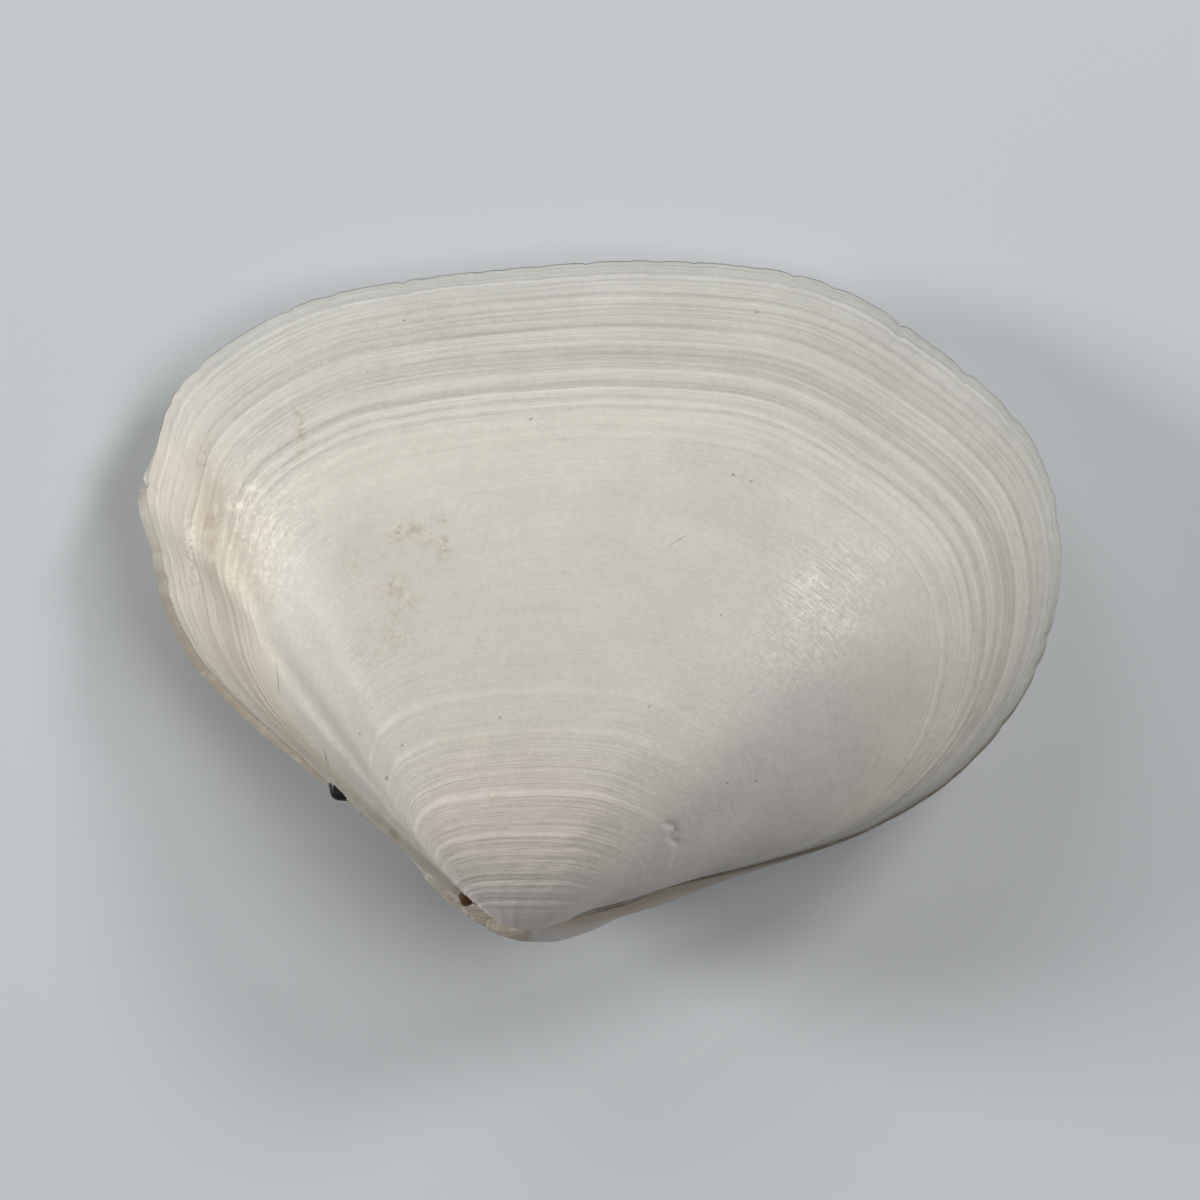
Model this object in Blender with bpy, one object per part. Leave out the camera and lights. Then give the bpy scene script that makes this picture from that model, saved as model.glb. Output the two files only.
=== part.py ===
"""A closed bivalve shell, about 60 mm long, lying on its right valve.

Each valve is a thin cup that grew as a logarithmic spiral: the outline of the open edge,
scaled down and turned about the hinge axis, gives every earlier growth line. The shell is
worked out in its own frame in mm, with the beak at the origin, +X towards the front end,
+Y towards the open edge and +Z out of the left valve. It is then tipped so that the beak
side is raised, as it rests on the round of the right valve, on a small worn flat spot.
"""

import math

import bmesh
import bpy
import numpy as np
from mathutils import Matrix, Vector

MM = 0.001

# Posture at rest, in degrees: the beak side is raised.
BEAK_SIDE_RAISED = 12.0

# The open edge where the valves meet, as x and y from the beak, from the beak along the
# front end to the belly, the hind end and back along the ligament side.
OUTLINE = (
    (3.0, -0.1),
    (6.4, 0.5),
    (10.4, 2.05),
    (17.6, 4.0),
    (23.2, 6.0),
    (28.9, 9.9),
    (33.4, 16.3),
    (35.0, 24.2),
    (33.1, 31.3),
    (26.8, 37.5),
    (19.0, 42.0),
    (9.0, 43.3),
    (-0.7, 42.8),
    (-8.3, 41.9),
    (-14.1, 40.6),
    (-20.3, 37.3),
    (-23.0, 34.6),
    (-24.1, 31.2),
    (-24.6, 27.8),
    (-23.7, 24.5),
    (-22.8, 20.6),
    (-20.2, 16.2),
    (-14.3, 10.4),
    (-7.6, 4.3),
    (-3.0, 0.75),
)
OUTLINE_CENTRE = (6.0, 24.0)

# Growth spiral of a valve.
SPIRAL_RATE = 0.76            # turn about the hinge axis, in radians, for each e-fold of size
YOUNGEST = 0.016              # size of the first growth line, as a share of the last
FRONT_LEAD = 0.13             # how much further forward the young shell reached
HIND_LEAD = -0.03
LEAD_KNEE = 0.12              # share of growth over which that lead was lost
LEAD_BLEND = 6.0              # distance from the beak over which the lead sets in
BEAK_LEAD = {1: 0.6, -1: 0.9}  # the left and the right beak point forward by this much
BEAK_LEAD_SIZES = (0.02, 0.25)

# The hind upper edge is drawn in beside the ligament, as a share of its round.
DRAWN_IN = 0.5
DRAWN_IN_ANGLES = (131.0, 148.0)
DRAWN_IN_SIZES = (0.06, 0.3)

# The front upper edge bulges out instead.
FRONT_BULGE = 0.45
FRONT_BULGE_ANGLES = (16.0, 36.0)

# Bend of the hind end towards the right valve, with a groove and a ridge on the left valve.
# Angles are in degrees about the beak, from +X towards +Y.
BEND = -1.6
BEND_FROM, BEND_TO = 110.0, 127.0
BEND_REACH = (13.0, 28.0)
BEND_GREW = (0.3, 0.85)       # sizes over which the bend grew to its full depth
GROOVE, GROOVE_ANGLE = -0.8, 128.3
RIDGE, RIDGE_ANGLE = 0.55, 130.6
FOLD_WIDTH = 2.6
FOLD_REACH = (10.0, 22.0)
FOLD_DRIFT = 7.0              # degrees by which the young groove lay nearer the ligament
FOLD_DRIFTED = (0.52, 0.88)

# The right valve reaches a little past the left one at the hind end.
OVERLAP = 0.6
OVERLAP_ANGLES = (127.0, 133.0)
OVERLAP_REACH = (12.0, 22.0)

# Walls and joint.
WALL = 1.35
CAVITY_END = 0.20             # size of the growth line where the hollow ends under the beak
HALF_GAP = 0.15               # half of the space left between the two valves

# Growth ledges: size of the growth line, and height.
LEDGES = (
    (0.972, 0.07),
    (0.946, 0.06),
    (0.888, 0.11),
    (0.808, 0.16),
    (0.724, 0.12),
    (0.383, 0.10),
    (0.335, 0.06),
    (0.262, 0.12),
    (0.210, 0.07),
)
LEDGE_FOOT = 0.006            # growth over which a ledge drops to the next stage
LEDGE_RUN = 0.035             # growth over which it rose
LEDGE_REACH = (1.5, 7.0)      # ledges fade out close to the hinge line
LEDGE_FRONT = (12.0, 32.0)    # and towards the upper edges, between these angles
LEDGE_HIND = (139.0, 148.0)

# The ligament, along the upper edge behind the beak: a stretch of the outline, and at shares
# of its length how far it stands out of the edge.
LIGAMENT_FROM_X, LIGAMENT_TO_X = -2.2, -13.6
LIGAMENT_SIDE_ANGLE = 140.0   # the outline beyond this angle at the beak is the upper edge
LIGAMENT_STANDS_OUT = (
    (0.0, -0.1),
    (0.12, 0.5),
    (0.3, 0.1),
    (0.6, 0.0),
    (0.78, 0.7),
    (0.9, 0.65),
    (1.0, -0.1),
)
LIGAMENT_SINKS = 0.75         # how deep it lies between the edges of the valves
LIGAMENT_HALF_WIDTH = 0.62
LIGAMENT_TIP = 0.2            # share of its thickness left at the two ends
LIGAMENT_BLUNTNESS = 10       # the higher, the shorter the tapered ends
LIGAMENT_ROUND = 12           # points around its section
LIGAMENT_STATIONS = 18
SEAT_CLEARANCE = 0.3

# Mesh density. The columns are crowded at the folded hind end, between these angles at the
# beak and beyond this distance from it.
COLUMNS = 58
HIND_CROWDING = 2.2
CROWDED_FROM = (112.0, 120.0)
CROWDED_TO = (140.0, 146.0)
CROWDED_BEYOND = 6.0
PLAIN_ROWS = (
    1.0, 0.85, 0.76, 0.64, 0.56, 0.48, 0.18, 0.145, 0.115, 0.09, 0.07, 0.054, 0.04, 0.028,
)
INNER_ROWS = (1.0, 0.85, 0.65, 0.47, 0.32, CAVITY_END)

# Flat spot worn under the right valve.
REST_DEPTH = 0.10

# Colours, as linear red, green and blue, and roughnesses.
CHALK_WHITE = (0.60, 0.57, 0.51)
HORN_BROWN = (0.045, 0.028, 0.016)
SHELL_ROUGHNESS = 0.45
HORN_ROUGHNESS = 0.35


def smooth(low, high, value):
    """0 below low and 1 above high, with a smooth rise between."""
    share = np.clip((value - low) / (high - low), 0.0, 1.0)
    return share * share * (3.0 - 2.0 * share)


def smooth_steps(knots, shares):
    """Values read off a curve that passes smoothly through the knots given."""
    values = np.zeros_like(shares)
    for (start, low), (end, high) in zip(knots, knots[1:]):
        inside = (shares >= start) & (shares <= end)
        values[inside] = low + (high - low) * smooth(start, end, shares[inside])
    return values


def spline_loop(points, steps=40):
    """Close-set points along a smooth closed curve through the points given."""
    points = np.asarray(points, float)
    before, after = np.roll(points, 1, axis=0), np.roll(points, -1, axis=0)
    ahead = np.linalg.norm(after - points, axis=1)[:, None]
    behind = np.roll(ahead, 1, axis=0)
    slope = (after - before) / (ahead + behind)
    slope_after = np.roll(slope, -1, axis=0)
    t = np.arange(steps)[None, :, None] / steps
    start, end = points[:, None, :], after[:, None, :]
    pull, pull_after = (slope * ahead)[:, None, :], (slope_after * ahead)[:, None, :]
    curve = (
        (2 * t**3 - 3 * t**2 + 1) * start
        + (t**3 - 2 * t**2 + t) * pull
        + (3 * t**2 - 2 * t**3) * end
        + (t**3 - t**2) * pull_after
    )
    return curve.reshape(-1, points.shape[1])


def angle_at_beak(x, y):
    return np.degrees(np.arctan2(y, x))


def outline_columns(count):
    """Points of the open edge, closer together at the hind end, where it folds."""
    curve = spline_loop(OUTLINE)
    step = np.linalg.norm(np.roll(curve, -1, axis=0) - curve, axis=1)
    angle = angle_at_beak(curve[:, 0], curve[:, 1])
    far = np.hypot(curve[:, 0], curve[:, 1]) > CROWDED_BEYOND
    crowd = smooth(*CROWDED_FROM, angle) * (1 - smooth(*CROWDED_TO, angle)) * far
    travelled = np.concatenate([[0.0], np.cumsum(step * (1.0 + HIND_CROWDING * crowd))])
    closed = np.vstack([curve, curve[:1]])
    wanted = np.linspace(0.0, travelled[-1], count, endpoint=False)
    return np.column_stack([np.interp(wanted, travelled, closed[:, axis]) for axis in (0, 1)])


def edge_height(x, y, size):
    """How far the open edge stood out of the hinge plane when the shell had this size."""
    angle = angle_at_beak(x, y)
    reach = np.hypot(x, y)
    drift = FOLD_DRIFT * (1.0 - smooth(*FOLD_DRIFTED, size))
    fold = GROOVE * np.exp(-(((angle - GROOVE_ANGLE - drift) / FOLD_WIDTH) ** 2))
    fold += RIDGE * np.exp(-(((angle - RIDGE_ANGLE - drift) / FOLD_WIDTH) ** 2))
    bend = BEND * smooth(BEND_FROM, BEND_TO, angle) * smooth(*BEND_REACH, reach)
    return bend * smooth(*BEND_GREW, size) + fold * smooth(*FOLD_REACH, reach)


def growth_line(x, y, size, side):
    """The growth line of one size: the open edge, shrunk and turned about the hinge axis."""
    turn = side * SPIRAL_RATE * math.log(1.0 / size)
    lost = (1.0 - size) / (1.0 - size + LEAD_KNEE)
    lead = np.where(
        x > 0,
        FRONT_LEAD * smooth(0, LEAD_BLEND, x),
        HIND_LEAD * smooth(0, LEAD_BLEND, -x),
    )
    height = edge_height(x, y, size)
    angle = angle_at_beak(x, y)
    drawn_in = DRAWN_IN * smooth(*DRAWN_IN_ANGLES, angle)
    drawn_in -= FRONT_BULGE * (1.0 - smooth(*FRONT_BULGE_ANGLES, angle))
    fall = math.cos(turn) + drawn_in * (1.0 - math.cos(turn)) * smooth(*DRAWN_IN_SIZES, size)
    beak_lead = BEAK_LEAD[side] * (1.0 - smooth(*BEAK_LEAD_SIZES, size))
    return np.column_stack([
        x * size * (1.0 + lost * lead) + beak_lead,
        size * (y * fall - height * math.sin(turn)),
        size * (y * math.sin(turn) + height * math.cos(turn)),
    ])


def ledge_height(size):
    """Height of the growth ledges: each rises slowly and drops at once to the next stage."""
    height = 0.0
    for place, top in LEDGES:
        past = place - size
        if past >= 0:
            height += top * math.exp(-past / LEDGE_RUN)
        elif -past < LEDGE_FOOT:
            height += top * (1.0 + past / LEDGE_FOOT)
    return height


def outer_rows():
    """Sizes of the growth lines that carry the outer surface, from the open edge to the beak."""
    rows = set(PLAIN_ROWS)
    for place, _ in LEDGES:
        rows.update((place, place + LEDGE_FOOT))
    return sorted(rows, reverse=True)


def overlapping(x, y):
    """The open edge of the right valve, which reaches past the left one at the hind end."""
    angle = angle_at_beak(x, y)
    reach = OVERLAP * smooth(*OVERLAP_ANGLES, angle) * smooth(*OVERLAP_REACH, np.hypot(x, y))
    away = np.column_stack([x, y]) - OUTLINE_CENTRE
    away /= np.linalg.norm(away, axis=1)[:, None]
    return x + away[:, 0] * reach, y + away[:, 1] * reach


def outer_surface(x, y, sizes, side):
    """Growth lines of the outer surface with the ledges raised, one row for each size."""
    lines = np.array([growth_line(x, y, size, side) for size in sizes])
    around = np.roll(lines, -1, axis=1) - np.roll(lines, 1, axis=1)
    along = np.gradient(lines, axis=0)
    outward = np.cross(around, along) * side
    outward /= np.linalg.norm(outward, axis=2)[:, :, None]
    height = np.array([ledge_height(size) for size in sizes])[:, None]
    angle = angle_at_beak(x, y)[None, :]
    fade = smooth(*LEDGE_REACH, np.hypot(x, y)[None, :] * np.array(sizes)[:, None])
    fade = fade * smooth(*LEDGE_FRONT, angle) * (1.0 - smooth(*LEDGE_HIND, angle))
    return lines + outward * (height * fade)[:, :, None]


def inner_surface(x, y, sizes, side):
    """Growth lines of the inner surface: the outline drawn in by the thickness of the wall."""
    centre_x, centre_y = OUTLINE_CENTRE
    half_width = np.mean(np.hypot(x - centre_x, y - centre_y))
    lines = []
    for size in sizes:
        keep = 1.0 - WALL / (size * half_width)
        line = growth_line(centre_x + (x - centre_x) * keep, centre_y + (y - centre_y) * keep,
                           size, side)
        lines.append(line)
    return np.array(lines)


def valve_mesh(side):
    """One valve as a closed cup: outer surface, open edge and inner surface."""
    x, y = outline_columns(COLUMNS).T
    edge_x, edge_y = overlapping(x, y) if side < 0 else (x, y)
    sizes = outer_rows() + [YOUNGEST]
    outer = outer_surface(edge_x, edge_y, sizes, side)
    inner = inner_surface(x, y, INNER_ROWS, side)
    mesh = bmesh.new()
    rings = []
    for line in list(outer[::-1]) + list(inner):
        rings.append([mesh.verts.new(point + (0.0, 0.0, side * HALF_GAP)) for point in line])
    for ring, following in zip(rings, rings[1:]):
        for index in range(COLUMNS):
            after = (index + 1) % COLUMNS
            mesh.faces.new((ring[index], ring[after], following[after], following[index]))
    for ring in (rings[0], rings[-1]):
        middle = mesh.verts.new(sum((vert.co for vert in ring), Vector()) / COLUMNS)
        for index in range(COLUMNS):
            mesh.faces.new((ring[index], ring[(index + 1) % COLUMNS], middle))
    bmesh.ops.recalc_face_normals(mesh, faces=mesh.faces)
    return mesh


def ligament_mesh(clearance):
    """The ligament, thicker all round by the clearance when it cuts its seat."""
    curve = spline_loop(OUTLINE)
    hind = curve[(curve[:, 0] < LIGAMENT_FROM_X) & (curve[:, 0] > LIGAMENT_TO_X)
                 & (angle_at_beak(curve[:, 0], curve[:, 1]) > LIGAMENT_SIDE_ANGLE)][::-1]
    travelled = np.concatenate([[0.0], np.cumsum(np.linalg.norm(np.diff(hind, axis=0), axis=1))])
    shares = np.linspace(0.0, 1.0, LIGAMENT_STATIONS)
    places = np.column_stack([
        np.interp(shares, travelled / travelled[-1], hind[:, axis]) for axis in (0, 1)
    ])
    forward = np.gradient(places, axis=0)
    forward /= np.linalg.norm(forward, axis=1)[:, None]
    outward = np.column_stack([-forward[:, 1], forward[:, 0]])
    level = edge_height(places[:, 0], places[:, 1], 1.0)
    stands_out = smooth_steps(LIGAMENT_STANDS_OUT, shares)
    mesh = bmesh.new()
    rings = []
    for index, share in enumerate(shares):
        rounding = math.sqrt(max(1.0 - (2.0 * share - 1.0) ** LIGAMENT_BLUNTNESS, 0.0))
        end_taper = LIGAMENT_TIP + (1.0 - LIGAMENT_TIP) * rounding
        half_height = ((stands_out[index] + LIGAMENT_SINKS) / 2.0) * end_taper + clearance
        half_width = LIGAMENT_HALF_WIDTH * end_taper + clearance
        middle = (stands_out[index] - LIGAMENT_SINKS) / 2.0
        ring = []
        for corner in range(LIGAMENT_ROUND):
            angle = 2.0 * math.pi * corner / LIGAMENT_ROUND
            along = clearance * (2.0 * share - 1.0 if index in (0, len(shares) - 1) else 0.0)
            place = places[index] + outward[index] * (middle + half_height * math.cos(angle))
            place = place + forward[index] * along
            ring.append(mesh.verts.new((*place, level[index] + half_width * math.sin(angle))))
        rings.append(ring)
    for ring, following in zip(rings, rings[1:]):
        for corner in range(LIGAMENT_ROUND):
            after = (corner + 1) % LIGAMENT_ROUND
            mesh.faces.new((ring[corner], ring[after], following[after], following[corner]))
    for ring in (rings[0], rings[-1]):
        mesh.faces.new(ring)
    bmesh.ops.recalc_face_normals(mesh, faces=mesh.faces)
    return mesh


def material(name, colour, roughness):
    surface = bpy.data.materials.new(name)
    surface.use_nodes = True
    shader = surface.node_tree.nodes["Principled BSDF"]
    shader.inputs["Base Color"].default_value = (*colour, 1.0)
    shader.inputs["Roughness"].default_value = roughness
    shader.inputs["Metallic"].default_value = 0.0
    return surface


def add_object(name, mesh, surface):
    data = bpy.data.meshes.new(name)
    mesh.to_mesh(data)
    mesh.free()
    data.shade_smooth()
    piece = bpy.data.objects.new(name, data)
    bpy.context.scene.collection.objects.link(piece)
    data.materials.append(surface)
    return piece


def cut_seat(valve, cutter):
    seat = valve.modifiers.new("ligament_seat", "BOOLEAN")
    seat.operation = "DIFFERENCE"
    seat.solver = "EXACT"
    seat.object = cutter


def main():
    for old in list(bpy.data.objects):
        bpy.data.objects.remove(old, do_unlink=True)

    left, right = valve_mesh(1), valve_mesh(-1)
    ligament, seat = ligament_mesh(0.0), ligament_mesh(SEAT_CLEARANCE)
    meshes = (left, right, ligament, seat)

    at_rest = Matrix.Rotation(math.radians(-BEAK_SIDE_RAISED), 4, "X")
    for mesh in meshes:
        bmesh.ops.transform(mesh, matrix=at_rest, verts=mesh.verts)
    lowest = min(vert.co.z for vert in right.verts)
    worn = bmesh.ops.bisect_plane(
        right, geom=right.verts[:] + right.edges[:] + right.faces[:],
        plane_co=(0.0, 0.0, lowest + REST_DEPTH), plane_no=(0.0, 0.0, 1.0), clear_inner=True,
    )
    rim = [item for item in worn["geom_cut"] if isinstance(item, bmesh.types.BMEdge)]
    spot = bmesh.ops.contextual_create(right, geom=rim)["faces"][0]
    rest_point = spot.calc_center_median()
    to_origin = Matrix.Scale(MM, 4) @ Matrix.Translation(-rest_point)
    for mesh in meshes:
        bmesh.ops.transform(mesh, matrix=to_origin, verts=mesh.verts)

    add_object("left_valve", left, material("left_valve", CHALK_WHITE, SHELL_ROUGHNESS))
    add_object("right_valve", right, material("right_valve", CHALK_WHITE, SHELL_ROUGHNESS))
    add_object("ligament", ligament, material("ligament", HORN_BROWN, HORN_ROUGHNESS))
    cutter = add_object(
        "ligament_seat", seat, material("ligament_seat", HORN_BROWN, HORN_ROUGHNESS)
    )
    cutter.hide_render = True
    cutter.display_type = "WIRE"
    for name in ("left_valve", "right_valve"):
        cut_seat(bpy.data.objects[name], cutter)


if __name__ == "__main__":
    main()
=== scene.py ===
import math

import bpy
import numpy as np
from mathutils import Matrix, Vector


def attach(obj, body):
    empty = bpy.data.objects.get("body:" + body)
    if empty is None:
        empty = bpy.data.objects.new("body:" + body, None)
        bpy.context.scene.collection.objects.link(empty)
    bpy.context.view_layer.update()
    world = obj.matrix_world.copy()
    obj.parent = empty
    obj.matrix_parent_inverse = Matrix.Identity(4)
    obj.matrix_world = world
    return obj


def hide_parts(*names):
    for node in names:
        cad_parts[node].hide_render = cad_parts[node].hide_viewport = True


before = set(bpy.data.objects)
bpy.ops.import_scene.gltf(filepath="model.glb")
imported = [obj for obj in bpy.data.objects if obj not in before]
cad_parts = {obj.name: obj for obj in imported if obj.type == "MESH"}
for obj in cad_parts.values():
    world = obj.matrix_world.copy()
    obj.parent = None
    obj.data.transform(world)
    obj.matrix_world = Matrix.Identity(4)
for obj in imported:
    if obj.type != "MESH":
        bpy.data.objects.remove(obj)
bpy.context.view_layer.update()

MM = 0.001

# The shell's own frame, in mm: beak at the origin, +X to the front end, +Y to the open edge,
# +Z out of the left valve. It lies with the beak side raised; REST_POINT is the middle of its
# flat spot in that posture.
BEAK_SIDE_RAISED = 12.0
REST_POINT = np.array((5.51104, 19.28547, -14.71962))

OUTLINE = (
    (3.0, -0.1), (6.4, 0.5), (10.4, 2.05), (17.6, 4.0), (23.2, 6.0), (28.9, 9.9),
    (33.4, 16.3), (35.0, 24.2), (33.1, 31.3), (26.8, 37.5), (19.0, 42.0), (9.0, 43.3),
    (-0.7, 42.8), (-8.3, 41.9), (-14.1, 40.6), (-20.3, 37.3), (-23.0, 34.6), (-24.1, 31.2),
    (-24.6, 27.8), (-23.7, 24.5), (-22.8, 20.6), (-20.2, 16.2), (-14.3, 10.4), (-7.6, 4.3),
    (-3.0, 0.75),
)
OUTLINE_CENTRE = np.array((6.0, 24.0))

# Growth spiral of a valve, the same as in the solids.
SPIRAL_RATE = 0.76
YOUNGEST = 0.016
FRONT_LEAD, HIND_LEAD = 0.13, -0.03
LEAD_KNEE, LEAD_BLEND = 0.12, 6.0
BEAK_LEAD, BEAK_LEAD_SIZES = {1: 0.6, -1: 0.9}, (0.02, 0.25)
DRAWN_IN, DRAWN_IN_ANGLES, DRAWN_IN_SIZES = 0.5, (131.0, 148.0), (0.06, 0.3)
FRONT_BULGE, FRONT_BULGE_ANGLES = 0.45, (16.0, 36.0)
BEND, BEND_ANGLES, BEND_REACH, BEND_GREW = -1.6, (110.0, 127.0), (13.0, 28.0), (0.3, 0.85)
GROOVE, GROOVE_ANGLE = -0.8, 128.3
RIDGE, RIDGE_ANGLE = 0.55, 130.6
FOLD_WIDTH, FOLD_REACH, FOLD_DRIFT, FOLD_DRIFTED = 2.6, (10.0, 22.0), 7.0, (0.52, 0.88)
OVERLAP, OVERLAP_ANGLES, OVERLAP_REACH = 0.6, (127.0, 133.0), (12.0, 22.0)
WALL, CAVITY_END, HALF_GAP = 1.35, 0.20, 0.15

# Growth ledges of the solids: size of the growth line, and height in mm.
LEDGES = (
    (0.972, 0.07), (0.946, 0.06), (0.888, 0.11), (0.808, 0.16), (0.724, 0.12),
    (0.383, 0.10), (0.335, 0.06), (0.262, 0.12), (0.210, 0.07),
)
LEDGE_FOOT, LEDGE_RUN = 0.006, 0.035
LEDGE_REACH, LEDGE_FRONT, LEDGE_HIND = (1.5, 7.0), (12.0, 32.0), (139.0, 148.0)

# Finer growth lines: size, and strength from 0 to 1. Low steps, and narrow grooves. The strength also sets how
# strongly they are painted pale and dark: painted light and shade.
STEPS = (
    (0.987, 0.35), (0.971, 0.9), (0.958, 0.3), (0.948, 0.6), (0.929, 0.5), (0.916, 0.5),
    (0.898, 0.4), (0.876, 0.75), (0.866, 0.4), (0.857, 0.6), (0.808, 1.0), (0.783, 0.8),
    (0.762, 0.4), (0.738, 0.4), (0.690, 0.15), (0.500, 0.2), (0.470, 0.3), (0.450, 0.35),
    (0.431, 0.4), (0.383, 0.5), (0.367, 0.45), (0.358, 0.4), (0.336, 0.5), (0.312, 0.6),
    (0.300, 0.5), (0.287, 0.6), (0.277, 0.6), (0.261, 1.0), (0.248, 0.8), (0.239, 0.6),
    (0.228, 0.6), (0.219, 0.6), (0.213, 0.8), (0.205, 0.6), (0.191, 0.8), (0.185, 0.5),
    (0.178, 0.8), (0.171, 0.5), (0.162, 0.6), (0.146, 0.8), (0.136, 0.5), (0.113, 0.7),
    (0.098, 0.5), (0.087, 0.4), (0.077, 0.4), (0.066, 0.3), (0.056, 0.3),
)
GROOVES = (
    (0.978, 0.4), (0.964, 0.5), (0.940, 0.45), (0.922, 0.3), (0.904, 0.4), (0.886, 0.8),
    (0.851, 0.6), (0.842, 0.5), (0.834, 0.4), (0.826, 0.4), (0.818, 0.4), (0.796, 0.9),
    (0.790, 0.5), (0.773, 0.6), (0.758, 0.5), (0.711, 0.5), (0.441, 0.3), (0.416, 0.5),
    (0.394, 0.6), (0.345, 0.5), (0.304, 0.6), (0.290, 0.5), (0.280, 0.5), (0.271, 0.8),
    (0.251, 0.6), (0.231, 0.5), (0.225, 0.5), (0.216, 0.5), (0.207, 1.0), (0.198, 0.6),
    (0.181, 0.6), (0.174, 0.5), (0.157, 0.6), (0.150, 0.9), (0.141, 0.5), (0.121, 0.8),
    (0.107, 0.6),
)
STEP_HEIGHT, STEP_RUN, STEP_FOOT = 0.060, 0.007, 0.0040
GROOVE_DEPTH, GROOVE_HALF_WIDTH = 0.048, 0.0024
LEDGE_SHARE = 0.75            # the rest of a ledge's height is in the finer steps
SUNK = 0.06                   # the whole relief lies this far in, under the solid's surface

# Still finer lines, drawn at random: stretches of growth, and the share of lines in each.
FINE_LINES = 300
FINE_LINE_ZONES = ((0.74, 0.995), (0.10, 0.42), (0.42, 0.72))
FINE_LINE_SHARES = (0.50, 0.15, 0.35)
FINE_LINE_HEIGHT = 0.030
CALM, CALM_FROM, CALM_TO = 0.55, (0.14, 0.26), (0.44, 0.62)   # where the lines are lower
FLANK_ANGLES = (42.0, 72.0)   # the young shell is worn smooth below these angles at the beak
RIM_SHADE, RIM_SIZES = 0.40, (0.975, 0.985)   # the last strip before the open edge is greyer

# The chipped edge. At the front the wall above it is dented, too.
EDGE_SEED = 5
DENT_SHARE, DENT_ANGLES, DENT_SIZES = 0.55, (45.0, 70.0), (0.89, 1.0)

# Mesh density. Columns are halved below HALVED_BELOW, where the shell is small.
COLUMNS = 500
HIND_CROWDING, CROWDED_FROM, CROWDED_TO = 1.0, (112.0, 120.0), (140.0, 146.0)
CROWDED_BEYOND = 6.0
ROW_STRETCHES = (
    (1.0, 0.70, 107), (0.70, 0.50, 13), (0.50, 0.40, 17), (0.40, 0.10, 104),
    (0.10, 0.05, 14), (0.05, YOUNGEST, 6),
)
HALVED_BELOW = 0.66
INNER_ROWS = (1.0, 0.985, 0.95, 0.88, 0.78, 0.66, 0.54, 0.42, 0.32, 0.25, CAVITY_END)

# The ligament, along the upper edge behind the beak.
LIGAMENT_FROM_X, LIGAMENT_TO_X, LIGAMENT_SIDE_ANGLE = -2.2, -13.6, 140.0
LIGAMENT_STANDS_OUT = (
    (0.0, -0.5), (0.03, -0.2), (0.08, 0.42), (0.16, -0.42), (0.73, -0.42), (0.83, 0.44),
    (0.93, -0.42), (1.0, -0.5),
)
LIGAMENT_SINKS, LIGAMENT_HALF_WIDTH, LIGAMENT_LOWERED = 0.75, 0.50, 0.16
LIGAMENT_TIP, LIGAMENT_BLUNTNESS = 0.2, 10
LIGAMENT_STATIONS, LIGAMENT_ROUND = 120, 40

# The camera: how far it leans to the front end, its distance, the width of the picture and
# its middle, right of and above the beak, in mm.
CAMERA_LEAN, CAMERA_DISTANCE, PICTURE_WIDTH = 3.0, 2000.0, 77.51
PICTURE_MIDDLE = (5.30, 20.28)
SENSOR = 36.0


def smooth(low, high, value):
    """0 below low and 1 above high, with a smooth rise between."""
    share = np.clip((value - low) / (high - low), 0.0, 1.0)
    return share * share * (3.0 - 2.0 * share)


def smooth_steps(knots, shares):
    values = np.zeros_like(shares)
    for (start, low), (end, high) in zip(knots, knots[1:]):
        inside = (shares >= start) & (shares <= end)
        values[inside] = low + (high - low) * smooth(start, end, shares[inside])
    return values


def waves(random, value, lengths, sizes):
    """A smooth seeded wander of the value given: waves of these lengths and heights."""
    total = np.zeros_like(value)
    for length, size in zip(lengths, sizes):
        for _ in range(3):
            stretch = random.uniform(0.75, 1.35)
            total += size / 3 * np.sin(2 * math.pi * (value / (length * stretch) + random.random()))
    return total


def spline_loop(points, steps=160):
    """Close-set points along a smooth closed curve through the points given."""
    points = np.asarray(points, float)
    before, after = np.roll(points, 1, axis=0), np.roll(points, -1, axis=0)
    ahead = np.linalg.norm(after - points, axis=1)[:, None]
    behind = np.roll(ahead, 1, axis=0)
    slope = (after - before) / (ahead + behind)
    slope_after = np.roll(slope, -1, axis=0)
    t = np.arange(steps)[None, :, None] / steps
    start, end = points[:, None, :], after[:, None, :]
    pull, pull_after = (slope * ahead)[:, None, :], (slope_after * ahead)[:, None, :]
    curve = (
        (2 * t**3 - 3 * t**2 + 1) * start + (t**3 - 2 * t**2 + t) * pull
        + (3 * t**2 - 2 * t**3) * end + (t**3 - t**2) * pull_after
    )
    return curve.reshape(-1, points.shape[1])


def angle_at_beak(x, y):
    return np.degrees(np.arctan2(y, x))


def outline_columns(count):
    curve = spline_loop(OUTLINE)
    step = np.linalg.norm(np.roll(curve, -1, axis=0) - curve, axis=1)
    angle = angle_at_beak(curve[:, 0], curve[:, 1])
    far = np.hypot(curve[:, 0], curve[:, 1]) > CROWDED_BEYOND
    crowd = smooth(*CROWDED_FROM, angle) * (1 - smooth(*CROWDED_TO, angle)) * far
    travelled = np.concatenate([[0.0], np.cumsum(step * (1.0 + HIND_CROWDING * crowd))])
    closed = np.vstack([curve, curve[:1]])
    wanted = np.linspace(0.0, travelled[-1], count, endpoint=False)
    return [np.interp(wanted, travelled, closed[:, axis]) for axis in (0, 1)]


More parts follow.
